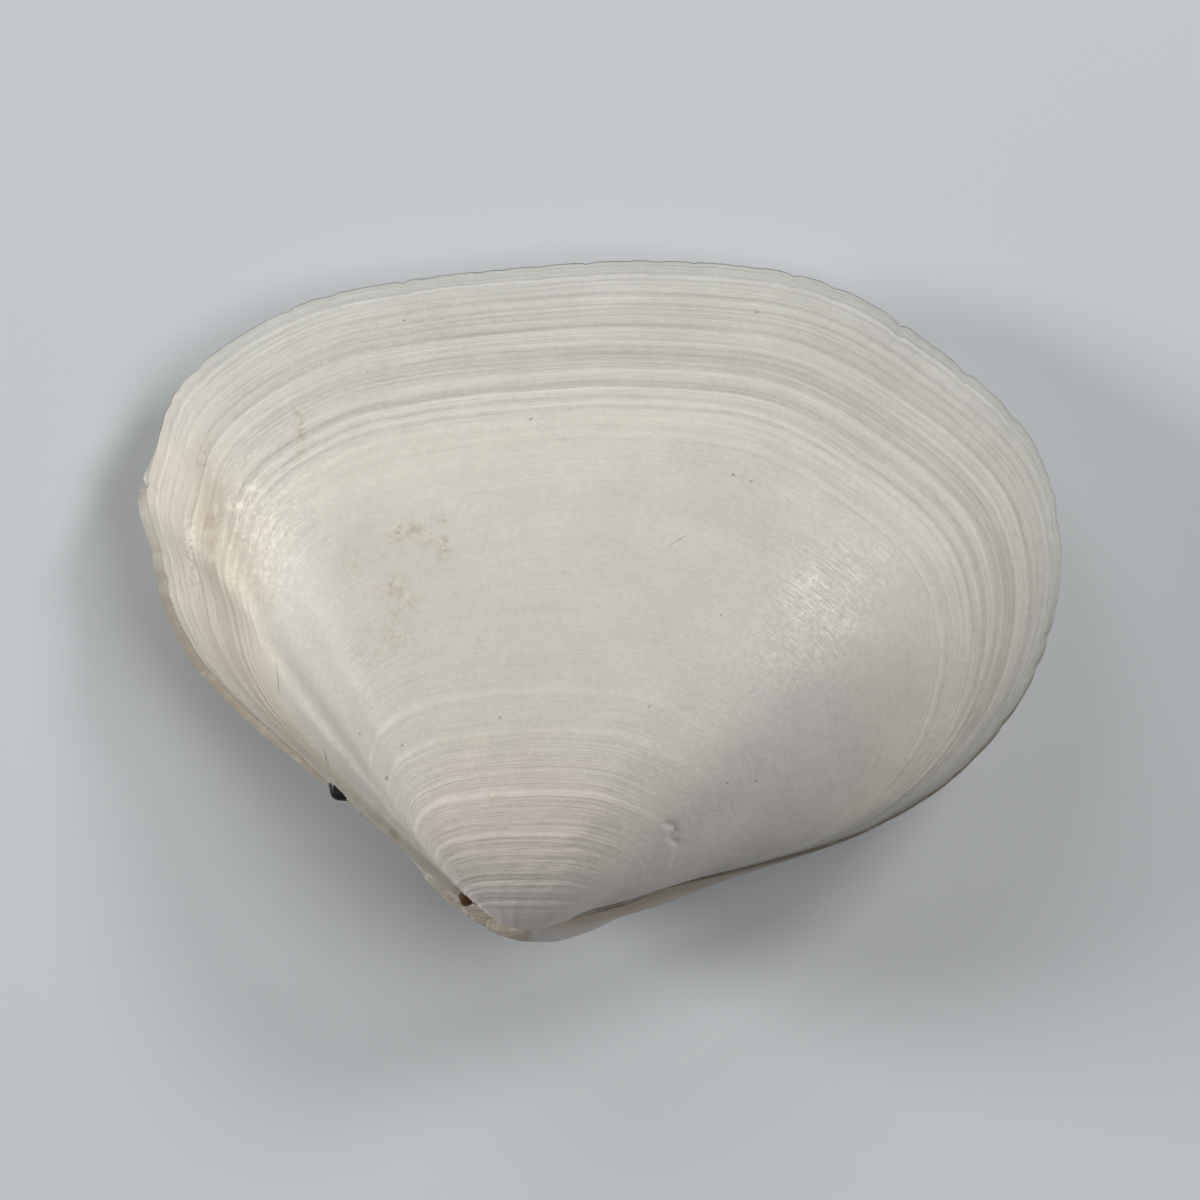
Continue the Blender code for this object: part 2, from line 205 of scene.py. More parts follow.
def edge_height(x, y, size):
    """How far the open edge stood out of the hinge plane when the shell had this size."""
    angle, reach = angle_at_beak(x, y), np.hypot(x, y)
    drift = FOLD_DRIFT * (1.0 - smooth(*FOLD_DRIFTED, size))
    fold = GROOVE * np.exp(-(((angle - GROOVE_ANGLE - drift) / FOLD_WIDTH) ** 2))
    fold = fold + RIDGE * np.exp(-(((angle - RIDGE_ANGLE - drift) / FOLD_WIDTH) ** 2))
    bend = BEND * smooth(*BEND_ANGLES, angle) * smooth(*BEND_REACH, reach)
    return bend * smooth(*BEND_GREW, size) + fold * smooth(*FOLD_REACH, reach)


def growth_lines(x, y, size, side):
    """The open edge, shrunk and turned about the hinge axis, for a column of sizes."""
    turn = side * SPIRAL_RATE * np.log(1.0 / size)
    lost = (1.0 - size) / (1.0 - size + LEAD_KNEE)
    lead = np.where(
        x > 0,
        FRONT_LEAD * smooth(0, LEAD_BLEND, x),
        HIND_LEAD * smooth(0, LEAD_BLEND, -x),
    )
    height, angle = edge_height(x, y, size), angle_at_beak(x, y)
    drawn_in = DRAWN_IN * smooth(*DRAWN_IN_ANGLES, angle)
    drawn_in = drawn_in - FRONT_BULGE * (1.0 - smooth(*FRONT_BULGE_ANGLES, angle))
    fall = np.cos(turn) + drawn_in * (1.0 - np.cos(turn)) * smooth(*DRAWN_IN_SIZES, size)
    beak_lead = BEAK_LEAD[side] * (1.0 - smooth(*BEAK_LEAD_SIZES, size))
    return np.stack([
        x * size * (1.0 + lost * lead) + beak_lead,
        size * (y * fall - height * np.sin(turn)),
        size * (y * np.sin(turn) + height * np.cos(turn)),
    ], axis=-1)


def overlapping(x, y):
    """The open edge of the right valve, which reaches past the left one at the hind end."""
    angle = angle_at_beak(x, y)
    reach = OVERLAP * smooth(*OVERLAP_ANGLES, angle) * smooth(*OVERLAP_REACH, np.hypot(x, y))
    away = np.stack([x, y], axis=-1) - OUTLINE_CENTRE
    away /= np.linalg.norm(away, axis=-1)[:, None]
    return x + away[:, 0] * reach, y + away[:, 1] * reach


def to_rest(points):
    """From the shell's own frame to the way it lies, still in mm."""
    turn = math.radians(-BEAK_SIDE_RAISED)
    rotation = np.array((
        (1.0, 0.0, 0.0),
        (0.0, math.cos(turn), -math.sin(turn)),
        (0.0, math.sin(turn), math.cos(turn)),
    ))
    return points @ rotation.T - REST_POINT


def seen_from_above(points):
    """Right of and above the beak in mm, as the camera sees points that are at rest."""
    lean = math.radians(CAMERA_LEAN)
    right = np.array((math.cos(lean), 0.0, -math.sin(lean)))
    offset = points + REST_POINT
    return offset @ right, offset[..., 1]


def chips(random, x, y):
    """How far the open edge is chipped back, in mm, at each column."""
    step = np.hypot(np.roll(x, -1) - x, np.roll(y, -1) - y)
    along = np.concatenate([[0.0], np.cumsum(step)[:-1]])
    angle = angle_at_beak(x, y)
    ragged = 0.40 + 0.30 * (1.0 - smooth(58.0, 84.0, angle)) + 0.2 * smooth(112.0, 124.0, angle)
    ragged = ragged * (1.0 - 0.85 * smooth(135.0, 141.0, angle))
    depth = 0.06 + 0.06 * waves(random, along, (9.0, 3.1), (0.6, 0.6))
    place = 0.0
    while place < along[-1]:
        width = random.uniform(0.4, 1.3)
        bite = random.uniform(0.10, 0.48) * (1.0 if random.random() < 0.75 else 0.2)
        beside = (along - place) / width
        slant = np.where(beside < 0, 1.0 + beside * 1.8, 1.0 - beside)
        depth = np.maximum(depth, bite * np.clip(slant, 0.0, 1.0) + 0.04)
        place += random.uniform(1.0, 3.2)
    return (0.04 + np.clip(depth, 0.0, 0.5) * ragged) * smooth(9.0, 17.0, np.hypot(x, y))


def dented(lines, x, y, sizes, chip):
    """Growth lines whose steep front wall is dented in where the edge below it is chipped."""
    away = np.stack([x - OUTLINE_CENTRE[0], y - OUTLINE_CENTRE[1]], axis=-1)
    away /= np.linalg.norm(away, axis=-1)[:, None]
    front = 1.0 - smooth(*DENT_ANGLES, angle_at_beak(x, y))
    depth = DENT_SHARE * chip * front * smooth(*DENT_SIZES, sizes)
    moved = lines.copy()
    moved[..., :2] -= depth[..., None] * away
    return moved


def relief(random, size, angle):
    """Height of growth lines over the smooth valve, in mm, and how pale or dark they look: a painted highlight
    on each step's face, painted shade in each groove, and a darker last strip.
    """
    wander = waves(random, angle, (60.0, 22.0, 7.0), (0.0016, 0.0010, 0.0005))
    near = size + wander
    ledges = np.zeros(np.broadcast(size, angle).shape)
    for place, top in LEDGES:
        past = place - near
        rising = np.exp(-np.maximum(past, 0.0) / LEDGE_RUN)
        foot = np.clip(1.0 + past / LEDGE_FOOT, 0.0, 1.0)
        ledges += top * np.where(past >= 0, rising, foot)
    fine = np.zeros_like(ledges)
    shade = np.zeros_like(ledges)
    for place, strength in STEPS:
        varied = strength * np.clip(1.0 + waves(random, angle, (45.0, 16.0), (0.35, 0.25)), 0.2, 1.6)
        past = place - near
        rising = np.exp(-np.maximum(past, 0.0) / STEP_RUN)
        foot = np.clip(1.0 + past / STEP_FOOT, 0.0, 1.0)
        fine += STEP_HEIGHT * varied * np.where(past >= 0, rising, foot)
        # The step's face is painted pale: painted highlight.
        shade += varied * np.exp(-((past + 0.5 * STEP_FOOT) / GROOVE_HALF_WIDTH) ** 2)
    for place, strength in GROOVES:
        varied = strength * np.clip(1.0 + waves(random, angle, (45.0, 16.0), (0.35, 0.25)), 0.2, 1.6)
        dip = np.exp(-(((near - place) / GROOVE_HALF_WIDTH) ** 2))
        fine -= GROOVE_DEPTH * varied * dip
        # Each groove is painted dark: painted shade.
        shade -= 0.9 * varied * dip
    for _ in range(FINE_LINES):
        zone = random.choice(len(FINE_LINE_ZONES), p=FINE_LINE_SHARES)
        place = random.uniform(*FINE_LINE_ZONES[zone])
        strength = random.uniform(-0.5, 0.6)
        width = random.uniform(0.0022, 0.0040)
        middle, half = random.uniform(25.0, 130.0), random.uniform(18.0, 70.0)
        there = np.exp(-(((angle - middle) / half) ** 4))
        dip = np.exp(-(((near - place) / width) ** 2)) * there
        fine += FINE_LINE_HEIGHT * strength * dip
        # Raised fine lines are painted pale and sunk ones dark: painted light and shade.
        shade += 0.40 * strength * dip
    shade -= RIM_SHADE * smooth(*RIM_SIZES, near)
    calm = 1.0 - CALM * smooth(*CALM_FROM, size) * (1.0 - smooth(*CALM_TO, size))
    return ledges, fine * calm, shade * calm


def scar(seen_x, seen_y):
    """Depth of an old chip in the young shell, in mm, by its place as seen from above."""
    path = ((9.62, 5.80), (10.10, 5.72), (10.22, 5.30), (9.82, 4.92), (10.28, 4.60))
    depth = np.zeros_like(seen_x)
    for (x0, y0), (x1, y1) in zip(path, path[1:]):
        run = np.array((x1 - x0, y1 - y0))
        share = ((seen_x - x0) * run[0] + (seen_y - y0) * run[1]) / (run @ run)
        share = np.clip(share, 0.0, 1.0)
        off = np.hypot(seen_x - x0 - share * run[0], seen_y - y0 - share * run[1])
        depth = np.maximum(depth, np.exp(-((off / 0.19) ** 2)))
    return 0.15 * depth


def growth_sizes():
    rows = [np.linspace(start, end, count, endpoint=False) for start, end, count in ROW_STRETCHES]
    return np.concatenate(rows + [[YOUNGEST]])


def chipped(sizes, chip, reach):
    """Sizes of the growth lines near the open edge, drawn back where it is chipped."""
    share = chip / reach
    return sizes * (1.0 - share * smooth(0.94, 1.0, sizes))


def blob(x, y, spots):
    """1 in the middle of each spot and 0 outside, for spots (x, y, half width, half height)."""
    total = np.zeros_like(x)
    for spot_x, spot_y, half_x, half_y, strength in spots:
        off = ((x - spot_x) / half_x) ** 2 + ((y - spot_y) / half_y) ** 2
        total = np.maximum(total, strength * np.exp(-off))
    return total


# Polished patches, smoother, with painted glints and painted sparkle in their colour: angle at the beak and
# its half width, size and its half width.
GLOSS_AND_PAINTED_GLINTS = ((48.5, 6.5, 0.60, 0.10), (122.8, 6.8, 0.745, 0.105))
# Painted highlights, the brightest spots on the polished patches: right of and above the beak, half sizes,
# strength.
PAINTED_HIGHLIGHTS = (
    (-21.2, 23.8, 0.30, 1.6, 1.0), (-20.9, 21.6, 0.25, 0.9, 0.6), (-18.1, 26.4, 0.60, 0.35, 0.9),
    (-17.0, 27.5, 0.60, 0.25, 0.6), (18.8, 21.5, 0.35, 0.35, 0.8), (20.9, 18.5, 0.60, 0.25, 0.8),
)

# Stains on the upper valve, as seen from above: right of and above the beak, half sizes, strength.
BROWN_STAINS = (
    (-7.70, 24.50, 0.55, 0.50, 1.0), (-6.60, 24.75, 0.80, 0.35, 0.7), (-5.90, 24.30, 0.9, 0.30, 0.5),
    (-4.70, 23.80, 0.45, 0.60, 1.0), (-5.05, 25.15, 0.35, 0.25, 0.8), (-5.10, 22.65, 0.25, 0.25, 0.8),
    (-7.80, 21.20, 0.60, 0.50, 0.9), (-7.55, 20.30, 0.95, 0.45, 0.9), (-8.0, 19.3, 0.3, 0.7, 0.6),
    (-8.10, 17.90, 1.90, 0.80, 0.38), (-10.5, 22.50, 0.9, 0.8, 0.30), (-9.6, 16.6, 1.6, 0.8, 0.30),
    (-14.0, 31.2, 0.30, 1.5, 0.55), (-14.3, 32.3, 0.5, 0.5, 0.55), (-20.3, 29.5, 0.5, 1.2, 0.5),
    (-2.52, 17.44, 0.15, 0.35, 0.7), (-1.55, 7.70, 0.35, 0.25, 0.5),
)
SULCUS_DIRT = (
    (-7.94, 5.30, 0.35, 0.60, 1.0), (-9.0, 6.4, 0.4, 0.6, 0.5), (-18.5, 18.3, 0.8, 3.0, 0.15),
    (-19.9, 25.6, 0.6, 3.4, 0.75), (-11.3, 9.95, 0.40, 0.14, 0.8), (-14.0, 11.5, 1.0, 2.0, 0.15),
)
# Dark specks and short marks: right of and above the beak, half length, half width, direction.
SPECKS = (
    (-1.13, 12.72, 0.11, 0.11, 0.0), (-7.43, 10.91, 0.12, 0.10, 20.0), (-8.46, 8.78, 0.15, 0.12, 80.0),
    (-10.2, 11.63, 0.10, 0.08, 60.0), (8.46, 13.43, 0.16, 0.06, 75.0), (13.11, 19.31, 0.10, 0.07, 40.0),
    (13.89, 28.35, 0.14, 0.09, -20.0), (15.05, 27.9, 0.10, 0.06, 0.0), (15.44, 38.88, 0.18, 0.07, 10.0),
    (-7.36, 38.36, 0.10, 0.07, 30.0), (13.5, 8.46, 0.10, 0.08, 0.0), (15.37, 8.59, 0.09, 0.07, 60.0),
    (0.84, 31.97, 0.16, 0.07, 25.0), (-12.4, 10.0, 0.75, 0.04, 105.0), (10.25, 24.08, 0.78, 0.035, 32.0),
    (-15.5, 15.1, 1.1, 0.030, 95.0), (13.8, 7.0, 0.6, 0.025, 98.0),
    (10.20, 5.50, 0.24, 0.035, 100.0), (9.98, 5.08, 0.26, 0.035, 42.0), (10.05, 4.76, 0.24, 0.035, -35.0),
)


def grid_mesh(name, rings, closes, flip):
    """A mesh of closed rings, one after the other, capped at both ends where it closes."""
    starts = np.cumsum([0] + [len(ring) for ring in rings])
    vertices = np.concatenate(rings)
    quads, triangles = [], []
    for index, (ring, following) in enumerate(zip(rings, rings[1:])):
        a, b, count = starts[index], starts[index + 1], len(ring)
        here = np.arange(count)
        after = (here + 1) % count
        if len(following) == count:
            quads.append(np.stack([a + here, a + after, b + after, b + here], axis=1))
            continue
        small, large, few = (a, b, count) if count < len(following) else (b, a, len(following))
        n, many = np.arange(few), 2 * few
        nearest, middle, next_near = large + 2 * n, large + 2 * n + 1, large + (2 * n + 2) % many
        corner, next_corner = small + n, small + (n + 1) % few
        fans = [(corner, middle, nearest), (corner, next_corner, middle), (next_corner, next_near, middle)]
        for fan in fans:
            fan = np.stack(fan, axis=1)
            triangles.append(fan if small == a else fan[:, ::-1])
    caps = []
    for ring, start, turned in ((rings[0], starts[0], True), (rings[-1], starts[-2], False)):
        if closes:
            vertices = np.concatenate([vertices, ring.mean(axis=0)[None]])
            here = np.arange(len(ring))
            fan = np.stack([start + here, start + (here + 1) % len(ring),
                            np.full(len(ring), len(vertices) - 1)], axis=1)
            caps.append(fan[:, ::-1] if turned else fan)
    faces = [face for group in quads + triangles + caps
             for face in (group[:, ::-1] if flip else group).tolist()]
    mesh = bpy.data.meshes.new(name)
    mesh.from_pydata(vertices.tolist(), [], faces)
    mesh.update()
    mesh.shade_smooth()
    return mesh


def write_vectors(mesh, name, values):
    """A vector for each vertex, with zeros for the middles of the caps."""
    flat = np.zeros((len(mesh.vertices), 3), np.float32)
    flat[:len(values)] = values
    attribute = mesh.attributes.new(name, "FLOAT_VECTOR", "POINT")
    attribute.data.foreach_set("vector", flat.ravel())


def shell_mesh(name, side, seed):
    """One valve with its growth lines as relief, its chipped edge and its hollow."""
    random = np.random.default_rng(seed)
    count = COLUMNS
    plain_x, plain_y = outline_columns(count)
    x, y = overlapping(plain_x, plain_y) if side < 0 else (plain_x, plain_y)
    reach = np.hypot(x, y)
    chip = chips(np.random.default_rng(EDGE_SEED), plain_x, plain_y)
    sizes = growth_sizes()[:, None]
    placed = chipped(sizes, chip, reach)
    lines = dented(growth_lines(x[None], y[None], placed, side), x, y, sizes, chip)
    around = np.roll(lines, -1, axis=1) - np.roll(lines, 1, axis=1)
    outward = np.cross(around, np.gradient(lines, axis=0)) * side
    outward /= np.linalg.norm(outward, axis=2)[..., None]
    angle = angle_at_beak(x, y)[None]
    ledges, fine, shade = relief(random, sizes, angle)
    fade = smooth(*LEDGE_REACH, reach[None] * sizes)
    ledge_fade = fade * smooth(*LEDGE_FRONT, angle) * (1.0 - smooth(*LEDGE_HIND, angle))
    fine_fade = smooth(0.6, 3.0, reach[None] * sizes) * smooth(10.0, 44.0, angle)
    fine_fade = fine_fade * (1.0 - 0.8 * smooth(141.0, 150.0, angle))
    worn_flank = (1.0 - smooth(0.45, 0.70, sizes)) * (1.0 - smooth(*FLANK_ANGLES, angle))
    fine_fade = fine_fade * (1.0 - 0.85 * worn_flank)
    ledge_fade = ledge_fade * (1.0 - 0.5 * worn_flank)
    seen_x, seen_y = seen_from_above(to_rest(lines))
    height = LEDGE_SHARE * ledges * ledge_fade + fine * fine_fade - SUNK * (1.0 + fine_fade)
    lumps = waves(random, reach[None] * sizes + 0.2 * angle, (7.0, 2.6), (0.030, 0.014))
    height = height + lumps * fine_fade
    if side > 0:
        height = height - scar(seen_x, seen_y)
    outer = lines + outward * height[..., None]

    half_width = np.mean(np.hypot(plain_x - OUTLINE_CENTRE[0], plain_y - OUTLINE_CENTRE[1]))
    inner = []
    for size in INNER_ROWS:
        keep = 1.0 - WALL / (size * half_width)
        row_x = OUTLINE_CENTRE[0] + (plain_x - OUTLINE_CENTRE[0]) * keep
        row_y = OUTLINE_CENTRE[1] + (plain_y - OUTLINE_CENTRE[1]) * keep
        row_size = np.full((1, 1), size)
        line = growth_lines(row_x[None], row_y[None], chipped(row_size, chip, reach), side)
        inner.append(dented(line, x, y, row_size, chip)[0])

    def rested(points):
        out = to_rest(points + np.array((0.0, 0.0, side * HALF_GAP)))
        out[..., 2] = np.maximum(out[..., 2], 0.0)
        return out * MM

    def dirt_and_painted_shade_mask():
        if side > 0:
            return blob(seen_x, seen_y, SULCUS_DIRT)
        # On the right valve, the front strip under the left valve's edge and the young shell under the left
        # valve's beak are darkened and browned: painted shade with a brown tint. The hind strip that shows
        # past the left valve is darker and browner too.
        front = (0.30 + 0.65 * smooth(0.78, 0.96, sizes)) * (1.0 - smooth(18.0, 34.0, angle))
        hind = 0.70 * smooth(0.60, 0.90, sizes) * smooth(132.0, 140.0, angle)
        beak = 0.85 * (1.0 - smooth(0.18, 0.45, sizes)) * smooth(80.0, 115.0, angle)
        return np.maximum(np.maximum(front, hind), beak)

    zero = np.zeros_like(seen_x)
    marks = np.stack([
        blob(seen_x, seen_y, BROWN_STAINS) if side > 0 else zero,
        # Both valves are darkened and browned along the front rim, where they meet: painted shade with a brown
        # tint.
        np.maximum(dirt_and_painted_shade_mask(), 0.9 * (1 - smooth(12.0, 26.0, angle)) * smooth(0.94, 0.99, sizes)),
        np.exp(-(((angle - 110.0) / 14.0) ** 2) - (((sizes - 0.865) / 0.06) ** 2)),
    ], axis=-1)
    gloss = np.zeros(np.broadcast(sizes, angle).shape)
    for middle, half, size, spread in GLOSS_AND_PAINTED_GLINTS:
        off = ((angle - middle) / half) ** 2 + ((sizes - size) / spread) ** 2
        gloss = np.maximum(gloss, np.exp(-off))
    lilac = (1.0 - smooth(35.0, 80.0, angle)) * (1.0 - smooth(0.42, 0.86, sizes))
    lilac = np.maximum(lilac, 1.0 - smooth(0.12, 0.34, sizes))
    # tone: the growth lines' painted light and shade, the polished patches, and the lilac share.
    tone = np.stack([np.clip(shade * fine_fade, -1.5, 1.5), gloss, lilac + zero], axis=-1)
    painted_highlight_mask = blob(seen_x, seen_y, PAINTED_HIGHLIGHTS) if side > 0 else zero
    grow = np.stack([angle / 180.0 + zero, sizes + zero, zero], axis=-1)
    seen = np.stack([seen_x, seen_y, zero], axis=-1)
    # The spots attribute holds the painted highlights.
    spots = np.stack([painted_highlight_mask, zero, zero], axis=-1)

    rings, looks = [], {"marks": [], "tone": [], "grow": [], "seen": [], "spots": []}
    values = {"marks": marks, "tone": tone, "grow": grow, "seen": seen, "spots": spots}
    surface = rested(outer)
    for index in range(len(sizes) - 1, -1, -1):
        stride = 2 if sizes[index, 0] < HALVED_BELOW else 1
        rings.append(surface[index, ::stride])
        for key, layer in values.items():
            looks[key].append(layer[index, ::stride])
    for size, line in zip(INNER_ROWS, inner):
        stride = 2 if size < HALVED_BELOW else 1
        rings.append(rested(line)[::stride])
        for key, layer in values.items():
            nearest = int(np.argmin(np.abs(sizes[:, 0] - size)))
            looks[key].append(layer[nearest, ::stride])
    mesh = grid_mesh(name, rings, True, side > 0)
    for key, rows in looks.items():
        write_vectors(mesh, key, np.concatenate(rows))
    return mesh


def ligament_mesh(name):
    """The horny ligament, with a rough skin."""
    random = np.random.default_rng(7)
    curve = spline_loop(OUTLINE)
    behind = (curve[:, 0] < LIGAMENT_FROM_X) & (curve[:, 0] > LIGAMENT_TO_X)
    upper = angle_at_beak(curve[:, 0], curve[:, 1]) > LIGAMENT_SIDE_ANGLE
    hind = curve[behind & upper][::-1]
    travelled = np.concatenate([[0.0], np.cumsum(np.linalg.norm(np.diff(hind, axis=0), axis=1))])
    shares = np.linspace(0.0, 1.0, LIGAMENT_STATIONS)
    places = np.stack([np.interp(shares, travelled / travelled[-1], hind[:, i]) for i in (0, 1)], axis=1)
    forward = np.gradient(places, axis=0)
    forward /= np.linalg.norm(forward, axis=1)[:, None]
    outward = np.stack([-forward[:, 1], forward[:, 0]], axis=1)
    level = edge_height(places[:, 0], places[:, 1], 1.0) - LIGAMENT_LOWERED
    stands_out = smooth_steps(LIGAMENT_STANDS_OUT, shares)
    rounding = np.sqrt(np.maximum(1.0 - (2.0 * shares - 1.0) ** LIGAMENT_BLUNTNESS, 0.0))
    taper = LIGAMENT_TIP + (1.0 - LIGAMENT_TIP) * rounding
    turn = 2.0 * math.pi * np.arange(LIGAMENT_ROUND) / LIGAMENT_ROUND
    rough = 1.0 - 0.05 * np.abs(np.sin(
        7.0 * turn[None] + waves(random, shares * 11.0, (1.7, 0.6), (1.8, 1.0))[:, None]))
    rough -= 0.05 * np.clip(waves(random, shares * 11.0, (0.9, 0.35), (1.0, 0.8)), 0, 1)[:, None]
    tall = ((stands_out + LIGAMENT_SINKS) / 2.0 * taper)[:, None] * np.cos(turn)[None] * rough
    middle = ((stands_out - LIGAMENT_SINKS) / 2.0)[:, None]
    wide = (LIGAMENT_HALF_WIDTH * taper)[:, None] * np.sin(turn)[None] * rough
    flat = places[:, None] + outward[:, None] * (middle + tall)[..., None]
    points = np.concatenate([flat, (level[:, None] + wide)[..., None]], axis=-1)
    mesh = grid_mesh(name, list(to_rest(points) * MM), True, False)
    share = np.repeat(shares, LIGAMENT_ROUND)
    out = np.tile(np.cos(turn), LIGAMENT_STATIONS)
    write_vectors(mesh, "along", np.stack([share, out, np.zeros_like(share)], axis=1))
    return mesh


class Shader:
    """Short ways to add and join the nodes of one material."""

    def __init__(self, name):
        self.material = bpy.data.materials.new(name)
        self.material.use_nodes = True
        self.tree = self.material.node_tree
        self.surface = self.tree.nodes["Principled BSDF"]

    def node(self, kind, sockets=None, **settings):
        made = self.tree.nodes.new(kind)
        for key, value in settings.items():
            setattr(made, key, value)
        for key, value in (sockets or {}).items():
            self.join(value, made.inputs[key])
        return made

    def join(self, value, socket):
        if isinstance(value, bpy.types.NodeSocket):
            self.tree.links.new(value, socket)
        else:
            socket.default_value = value

    def attribute(self, name):
        return self.node("ShaderNodeAttribute", attribute_name=name).outputs["Vector"]

    def split(self, vector):
        return self.node("ShaderNodeSeparateXYZ", {0: vector}).outputs

    def math(self, kind, a, b=0.0, clamp=False):
        return self.node("ShaderNodeMath", {0: a, 1: b}, operation=kind, use_clamp=clamp).outputs[0]

    def stretched(self, vector, by, shift=(0.0, 0.0, 0.0)):
        return self.node("ShaderNodeVectorMath", {0: vector, 1: by, 2: shift},
                         operation="MULTIPLY_ADD").outputs[0]

    def noise(self, vector, scale, detail=3.0, rough=0.55):
        return self.node("ShaderNodeTexNoise", {
            "Vector": vector, "Scale": scale, "Detail": detail, "Roughness": rough,
        }).outputs["Fac"]

    def between(self, value, low, high, to_low=0.0, to_high=1.0):
        return self.node("ShaderNodeMapRange", {
            "Value": value, "From Min": low, "From Max": high, "To Min": to_low, "To Max": to_high,
        }, interpolation_type="SMOOTHSTEP").outputs[0]

    def mix(self, share, a, b, kind="MIX"):
        mixer = self.node("ShaderNodeMix", data_type="RGBA", blend_type=kind)
        self.join(share, mixer.inputs[0])
        for value, socket in ((a, mixer.inputs[6]), (b, mixer.inputs[7])):
            self.join((*value, 1.0) if isinstance(value, tuple) else value, socket)
        return mixer.outputs[2]

    def ramp(self, value, stops):
        made = self.node("ShaderNodeValToRGB", {0: value})
        elements = made.color_ramp.elements
        while len(elements) < len(stops):
            elements.new(0.5)
        for element, (place, colour) in zip(elements, stops):
            element.position = place
            element.color = (*colour, 1.0)
        return made.outputs[0]


# Colours along growth, from the beak to the open edge.
GROWTH_COLOURS = (
    (0.00, (0.465, 0.415, 0.350)), (0.14, (0.565, 0.512, 0.440)), (0.26, (0.640, 0.596, 0.530)),
    (0.45, (0.598, 0.574, 0.520)), (0.62, (0.628, 0.603, 0.542)), (0.73, (0.692, 0.667, 0.594)),
    (0.83, (0.636, 0.622, 0.562)), (0.90, (0.622, 0.612, 0.562)), (1.00, (0.665, 0.660, 0.620)),
)

# Dirt and painted shade: noise where it starts and where it is thick, its share, and its colour. The brown
# also paints the shade under the left valve and along the front rim.
DIRT_AND_SHADE_ON_THE_LEFT = (0.30, 0.62, 0.65, (0.40, 0.31, 0.19))
DIRT_AND_SHADE_ON_THE_RIGHT = (0.18, 0.52, 0.90, (0.33, 0.265, 0.18))


